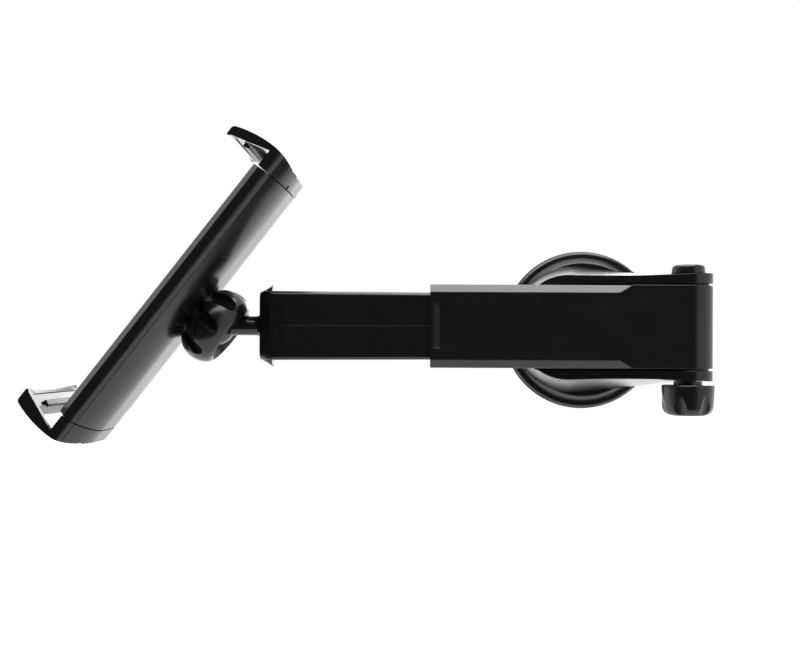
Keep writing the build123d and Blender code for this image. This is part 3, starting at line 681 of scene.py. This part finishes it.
class HOLDER_OT_cup(bpy.types.Operator):
    """Turn the suction cup with a dished face and a rolled rim"""

    bl_idname = "holder.cup"
    bl_label = "Suction cup"

    def execute(self, context):
        scene = context.scene
        hollow = scene.holder_sizes.cup_hollow
        low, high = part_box("suction_cup")
        radius = (high.x - low.x) / 2
        height = high.y - low.y
        rim = 1.2 * MM
        # The boss with its sloped root, and the room in it for the stem and its foot
        boss, root, step = 9.0 * MM, 12.2 * MM, 10.2 * MM
        root_height, step_height = 3.2 * MM, 3.6 * MM
        bore, foot, foot_low, foot_high = 4.05 * MM, 6.55 * MM, 2.35 * MM, 4.65 * MM
        points = [
            (0.0, -hollow), (0.35 * radius, -hollow), (0.7 * radius, -0.7 * hollow),
            (0.72 * radius, -0.3 * hollow), (0.74 * radius, -0.7 * hollow), (0.9 * radius, -0.25 * hollow),
            (radius - 0.5 * rim, 0.0), (radius - 0.15 * rim, -0.15 * rim), (radius, -0.5 * rim),
            (radius - 0.1 * rim, -0.85 * rim), (radius - 0.4 * rim, -rim),
            (root, -root_height), (step, -step_height), (boss, -height),
            (bore, -height), (bore, -foot_high), (foot, -foot_high), (foot, -foot_low), (0.0, -foot_low),
        ]
        bm = turned(points, 128, Vector((0, 1, 0)))
        middle = (low + high) / 2
        bmesh.ops.translate(bm, verts=bm.verts, vec=(middle.x, high.y, middle.z))
        add_piece("suction_cup_turned", bm, "suction_cup", soft_rubber(scene.holder_finish))
        return {"FINISHED"}


class HOLDER_OT_screws(bpy.types.Operator):
    """Turn the screws and press a cross into their heads"""

    bl_idname = "holder.screws"
    bl_label = "Screws"

    def execute(self, context):
        scene = context.scene
        steel = plated_steel(scene.holder_finish)
        pitch = scene.holder_sizes.thread_pitch
        for node, inward in (("base_screws", Vector((0, -1, 0))), ("arm_screws", Vector((0, 0, 1))),
                             ("bracket_screws", OUTWARD)):
            together = bpy.data.meshes.new(node + "_pressed")
            whole = bmesh.new()
            for corners in islands(node):
                screw = cross_screw(corners, inward, pitch)
                screw.to_mesh(together)
                screw.free()
                whole.from_mesh(together)
            bpy.data.meshes.remove(together)
            add_piece(node + "_pressed", whole, node, steel)
        return {"FINISHED"}


def cross_screw(corners, inward, pitch):
    """One screw fitted to a CAD screw's corners: rounded head with a cross, threaded shank and point."""
    depths = [c.dot(inward) for c in corners]
    top, end = min(depths), max(depths)
    middle = sum(corners, Vector()) / len(corners)
    base = middle - inward * middle.dot(inward)
    reach = [((c - base) - inward * c.dot(inward)).length for c in corners]
    head = max(reach)
    shank = max(r for r, d in zip(reach, depths) if d > (top + end) / 2)
    seat = max(d for r, d in zip(reach, depths) if r > (head + shank) / 2)
    flat = 0.72 * head
    tall = seat - top
    points = [(flat, top), (0.9 * head, top + 0.12 * tall), (head, top + 0.5 * tall), (head, seat)]
    core = 0.8 * shank
    count = int((end - seat) / pitch) - 1
    for turn in range(count):
        start = seat + turn * pitch
        points += [(core, start + 0.1 * pitch), (core, start + 0.4 * pitch), (shank, start + 0.7 * pitch)]
    points += [(core, seat + (count + 0.2) * pitch), (0.3 * core, end), (0.0, end)]
    bm = turned(points, 32, inward)
    rim = [e for e in bm.edges if e.is_boundary]
    bmesh.ops.edgeloop_fill(bm, edges=rim)
    press_cross(bm, inward, top, flat)
    bmesh.ops.recalc_face_normals(bm, faces=bm.faces)
    bmesh.ops.translate(bm, verts=bm.verts, vec=base)
    return bm


def lid_faces(bm, inward, top):
    """The faces in the flat of a screw's head."""
    return [f for f in bm.faces if abs(f.calc_center_median().dot(inward) - top) < ON_FACE]


def press_cross(bm, inward, top, flat):
    """Cut a cross into the flat of a screw's head and push it in."""
    side = inward.orthogonal().normalized()
    ways = (side, inward.cross(side))
    slot, arm = 0.2 * flat, 0.8 * flat
    for way in ways:
        for offset in (-arm, -slot, slot, arm):
            cut(bm, lid_faces(bm, inward, top), way * offset, way)
    cross = []
    for face in lid_faces(bm, inward, top):
        spots = sorted(abs(face.calc_center_median().dot(way)) for way in ways)
        if spots[0] < slot and spots[1] < arm:
            cross.append(face)
    pushed = bmesh.ops.extrude_face_region(bm, geom=cross)["geom"]
    deep = [v for v in pushed if isinstance(v, bmesh.types.BMVert)]
    bmesh.ops.translate(bm, verts=deep, vec=inward * 0.5 * flat)


class HOLDER_OT_springs(bpy.types.Operator):
    """Wind the two draw springs with their end eyes"""

    bl_idname = "holder.springs"
    bl_label = "Draw springs"

    def execute(self, context):
        scene = context.scene
        steel = plated_steel(scene.holder_finish)
        for node in ("jaw_spring_near", "jaw_spring_far"):
            wind_spring(node, scene.holder_sizes, steel)
        return {"FINISHED"}


def wire_ring(bm, radius, place):
    """The corners and edges of the wire's round section, standing at a place."""
    ring = bmesh.ops.create_circle(bm, cap_ends=False, segments=8, radius=radius,
                                   matrix=Matrix.Rotation(math.radians(90), 4, "X"))["verts"]
    bmesh.ops.translate(bm, verts=ring, vec=place)
    return ring + list(dict.fromkeys(edge for corner in ring for edge in corner.link_edges))


def wind_spring(node, sizes, steel):
    """A coil along the bracket that stretches between the bracket and the jaw."""
    corners = [v.co for v in frame["nodes"][node].data.vertices]
    spots = [c.dot(ALONG) for c in corners]
    low, high = min(spots), max(spots)
    middle = (min(corners, key=ALONG.dot) + max(corners, key=ALONG.dot)) / 2
    middle.y = sum(c.y for c in corners) / len(corners)
    level = middle - ALONG * middle.dot(ALONG)
    wire = sizes.spring_wire / 2
    eye = sizes.spring_eye + wire
    start, stop = low + 2 * eye, high - 2 * eye
    bm = bmesh.new()
    steps_a_turn = 14
    steps = steps_a_turn * sizes.spring_turns
    bmesh.ops.spin(bm, geom=wire_ring(bm, wire, (0, 0, sizes.spring_coil)), cent=(0, 0, 0), axis=(1, 0, 0),
                   dvec=((stop - start) / steps, 0, 0), angle=math.tau * sizes.spring_turns, steps=steps)
    bmesh.ops.translate(bm, verts=bm.verts, vec=(start, 0, 0))
    bmesh.ops.holes_fill(bm, edges=[e for e in bm.edges if e.is_boundary])
    for spot in (low + eye, high - eye):
        bmesh.ops.spin(bm, geom=wire_ring(bm, wire, (spot + sizes.spring_eye, 0, 0)), cent=(spot, 0, 0),
                       axis=(0, 0, 1), dvec=(0, 0, 0), angle=math.tau, steps=24, use_merge=True)
    bmesh.ops.recalc_face_normals(bm, faces=bm.faces)
    turn = Matrix((ALONG, ACROSS, OUTWARD)).transposed().to_4x4()
    bmesh.ops.transform(bm, matrix=Matrix.Translation(level) @ turn, verts=bm.verts)
    mesh = bpy.data.meshes.new(node + "_wound")
    bm.to_mesh(mesh)
    bm.free()
    mesh.materials.append(steel)
    mesh.polygons.foreach_set("use_smooth", [True] * len(mesh.polygons))
    piece = bpy.data.objects.new(node + "_wound", mesh)
    bpy.context.scene.collection.objects.link(piece)
    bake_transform(piece, "bracket", "jaw", level + ALONG * (low + eye), level + ALONG * (high - eye))
    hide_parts(node)


class HOLDER_OT_small_parts(bpy.types.Operator):
    """Give the small nodes that stay their finish"""

    bl_idname = "holder.small_parts"
    bl_label = "Small parts"

    def execute(self, context):
        finish = context.scene.holder_finish
        finish_nodes(("mouth_bush", "slide_shoe", "ball_seat", "ball_collar", "washer_upper", "washer_lower"),
                     filled_nylon(finish))
        finish_nodes(("cup_stem", "lever_pin"), plated_steel(finish))
        finish_nodes(("knob_insert",), turned_brass(finish))
        return {"FINISHED"}


# Stage


class HOLDER_OT_stage(bpy.types.Operator):
    """Add the camera, the softbox, the floor and the white surround"""

    bl_idname = "holder.stage"
    bl_label = "Stage"

    def execute(self, context):
        stage = context.scene.holder_stage
        context.scene.view_settings.view_transform = "Standard"
        add_camera(context.scene, stage)
        add_softbox(context.scene, stage)
        add_floor(context.scene, stage)
        add_surround(context.scene)
        return {"FINISHED"}


def add_camera(scene, stage):
    """The camera, its lens shifted so that the photograph's optical axis keeps its pixel."""
    lens = bpy.data.cameras.new("photo_camera")
    lens.sensor_width = 36.0
    lens.lens = lens.sensor_width * stage.focal_pixels / PHOTO_WIDTH
    lens.shift_x = (PHOTO_WIDTH / 2 - stage.optical_axis[0]) / PHOTO_WIDTH
    lens.shift_y = (stage.optical_axis[1] - PHOTO_HEIGHT / 2) / PHOTO_WIDTH
    lens.clip_start = 0.01
    camera = bpy.data.objects.new("photo_camera", lens)
    scene.collection.objects.link(camera)
    camera.location = stage.camera_place
    camera.rotation_euler = (math.radians(90), stage.camera_roll, 0)
    scene.camera = camera


def add_softbox(scene, stage):
    """One large lamp overhead, which draws the light line along the upper chamfers."""
    lamp = bpy.data.lights.new("softbox", "AREA")
    lamp.shape = "RECTANGLE"
    lamp.size, lamp.size_y = stage.softbox_size
    lamp.energy = stage.softbox_watts
    softbox = bpy.data.objects.new("softbox", lamp)
    scene.collection.objects.link(softbox)
    softbox.location = stage.softbox_place


def any_ray(tree, kinds):
    """One for rays of the named kinds, and zero for all others."""
    path = add_node(tree, "ShaderNodeLightPath").outputs
    level = path[kinds[0]]
    for kind in kinds[1:]:
        level = add_node(tree, "ShaderNodeMath", settings={"operation": "MAXIMUM"},
                         links={0: level, 1: path[kind]}).outputs["Value"]
    return level


def add_floor(scene, stage):
    """A matt white floor that keeps the shadow under the part and pales to white further out."""
    bm = bmesh.new()
    bmesh.ops.create_circle(bm, cap_ends=True, segments=96, radius=stage.floor_radius)
    bmesh.ops.translate(bm, verts=bm.verts, vec=(stage.part_middle, stage.floor_middle, stage.floor_height))
    mesh = bpy.data.meshes.new("floor")
    bm.to_mesh(mesh)
    bm.free()
    floor = bpy.data.objects.new("floor", mesh)
    scene.collection.objects.link(floor)
    material = bpy.data.materials.new("Matt white floor")
    material.use_nodes = True
    tree = material.node_tree
    tree.nodes.clear()
    place = add_node(tree, "ShaderNodeTexCoord").outputs["Object"]
    away = add_node(tree, "ShaderNodeVectorMath", settings={"operation": "DISTANCE"}, links={0: place})
    away.inputs[1].default_value = (stage.part_middle, 0, stage.floor_height)
    pale = add_node(tree, "ShaderNodeMapRange", settings={"interpolation_type": "SMOOTHSTEP"},
                    values={"From Min": stage.shade_span[0], "From Max": stage.shade_span[1],
                            "To Min": 0.0, "To Max": 0.95},
                    links={"Value": away.outputs["Value"]})
    seen = any_ray(tree, ("Is Camera Ray", "Is Glossy Ray", "Is Transmission Ray"))
    lift = add_node(tree, "ShaderNodeMath", settings={"operation": "MULTIPLY"},
                    links={0: pale.outputs["Result"], 1: seen})
    matt = add_node(tree, "ShaderNodeBsdfDiffuse", values={"Color": linear(stage.floor_colour)})
    glow = add_node(tree, "ShaderNodeEmission", links={"Strength": lift.outputs["Value"]})
    both = add_node(tree, "ShaderNodeAddShader", links={0: matt.outputs["BSDF"], 1: glow.outputs["Emission"]})
    add_node(tree, "ShaderNodeOutputMaterial", links={"Surface": both.outputs["Shader"]})
    mesh.materials.append(material)


def add_surround(scene):
    """A surround that is white or brighter behind the part, and dim behind the camera for black fronts.

    Reflections show it as it is; a direct or clear view shows plain white.
    """
    world = bpy.data.worlds.new("studio")
    world.use_nodes = True
    scene.world = world
    tree = world.node_tree
    tree.nodes.clear()
    way = add_node(tree, "ShaderNodeTexCoord").outputs["Generated"]
    split = add_node(tree, "ShaderNodeSeparateXYZ", links={"Vector": way}).outputs
    spans = {}
    for name, axis, begin, end, low, high in (
        ("back", "Y", -0.5, 0.15, 0.08, 1.05),      # dim behind the camera, white behind the part
        ("right", "X", 0.3, 0.65, 0.0, 0.9),        # white flat on the right
        ("backdrop", "Y", 0.85, 0.97, 0.0, 1.2),    # brighter straight behind
        ("rise", "Z", 0.06, 0.18, 0.0, 2.5),        # brightest a little above the horizon,
        ("fall", "Z", 0.36, 0.5, 1.0, 0.0),
        ("turn", "X", 0.02, 0.16, 0.0, 1.0),        # right of the middle
    ):
        spans[name] = add_node(
            tree, "ShaderNodeMapRange", settings={"interpolation_type": "SMOOTHSTEP"},
            values={"From Min": begin, "From Max": end, "To Min": low, "To Max": high},
            links={"Value": split[axis]}).outputs["Result"]
    level = spans["rise"]
    for operation, other in (("MULTIPLY", "fall"), ("MULTIPLY", "turn"), ("MULTIPLY", "backdrop"),
                             ("ADD", "backdrop"), ("ADD", "back"), ("MAXIMUM", "right")):
        level = add_node(tree, "ShaderNodeMath", settings={"operation": operation},
                         links={0: level, 1: spans[other]}).outputs["Value"]
    direct = any_ray(tree, ("Is Camera Ray", "Is Transmission Ray"))
    seen = add_node(tree, "ShaderNodeMix", settings={"data_type": "FLOAT"}, values={"B": 1.0},
                    links={"Factor": direct, "A": level})
    background = add_node(tree, "ShaderNodeBackground", values={"Color": linear("#ffffff")},
                          links={"Strength": seen.outputs["Result"]})
    add_node(tree, "ShaderNodeOutputWorld", links={"Surface": background.outputs["Background"]})


class HOLDER_PT_panel(bpy.types.Panel):
    """Lists the steps that dress the holder"""

    bl_label = "Tablet holder"
    bl_idname = "HOLDER_PT_panel"
    bl_space_type = "VIEW_3D"
    bl_region_type = "UI"
    bl_category = "Holder"

    def draw(self, context):
        for step in STEPS:
            self.layout.operator(step.bl_idname)


STEPS = (
    HOLDER_OT_shells, HOLDER_OT_front, HOLDER_OT_back, HOLDER_OT_jaws, HOLDER_OT_cup, HOLDER_OT_screws,
    HOLDER_OT_springs, HOLDER_OT_small_parts, HOLDER_OT_stage,
)
CLASSES = (HolderFinish, HolderSizes, HolderStage, *STEPS, HOLDER_PT_panel)


def register():
    for each in CLASSES:
        bpy.utils.register_class(each)
    bpy.types.Scene.holder_finish = PointerProperty(type=HolderFinish)
    bpy.types.Scene.holder_sizes = PointerProperty(type=HolderSizes)
    bpy.types.Scene.holder_stage = PointerProperty(type=HolderStage)


def unregister():
    del bpy.types.Scene.holder_stage
    del bpy.types.Scene.holder_sizes
    del bpy.types.Scene.holder_finish
    for each in reversed(CLASSES):
        bpy.utils.unregister_class(each)


def main():
    register()
    for step in STEPS:
        group, name = step.bl_idname.split(".")
        getattr(getattr(bpy.ops, group), name)()


if __name__ == "__main__":
    main()
